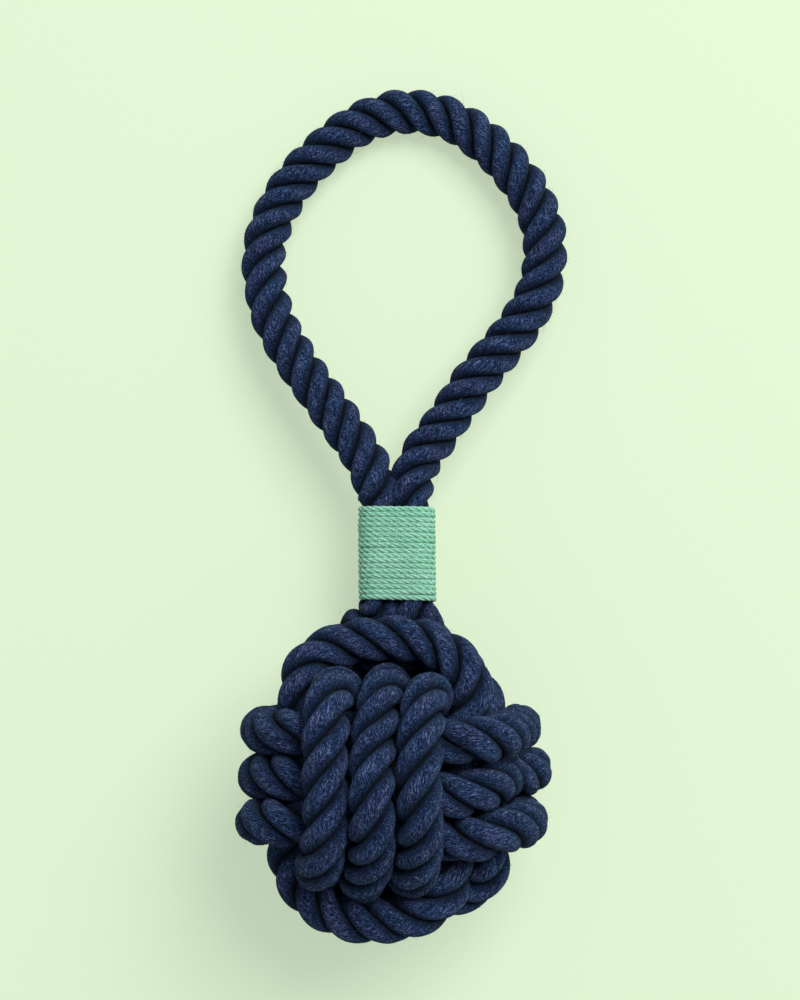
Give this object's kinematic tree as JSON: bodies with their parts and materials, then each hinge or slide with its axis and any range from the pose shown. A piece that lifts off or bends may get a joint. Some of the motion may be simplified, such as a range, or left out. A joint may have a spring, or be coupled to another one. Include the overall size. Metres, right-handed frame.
{
  "type": "rope dog toy",
  "caption": "Dog's tug toy of thick navy cotton rope: a monkey's fist knot, a neck whipped with green twine and a handle loop to hold.",
  "frame": {"origin": "on the ground, under the middle back strand of the knot", "axes": "-Z down onto the ground, +Y from the knot along the neck to the handle's tip, +X to the right seen from above"},
  "size_m": [0.1144, 0.2932, 0.1028],
  "materials": {
    "rope": "matte three-strand cotton rope, right-hand lay, slightly fuzzy",
    "twine": "matte plied cotton twine",
    "core": "matte"
  },
  "bodies": {
    "root": {"front_turns": "rope", "crown_turns": "rope", "side_turns": "rope", "handle_loop": "rope", "whipping": "twine", "core": "core"}
  },
  "joints": []
}
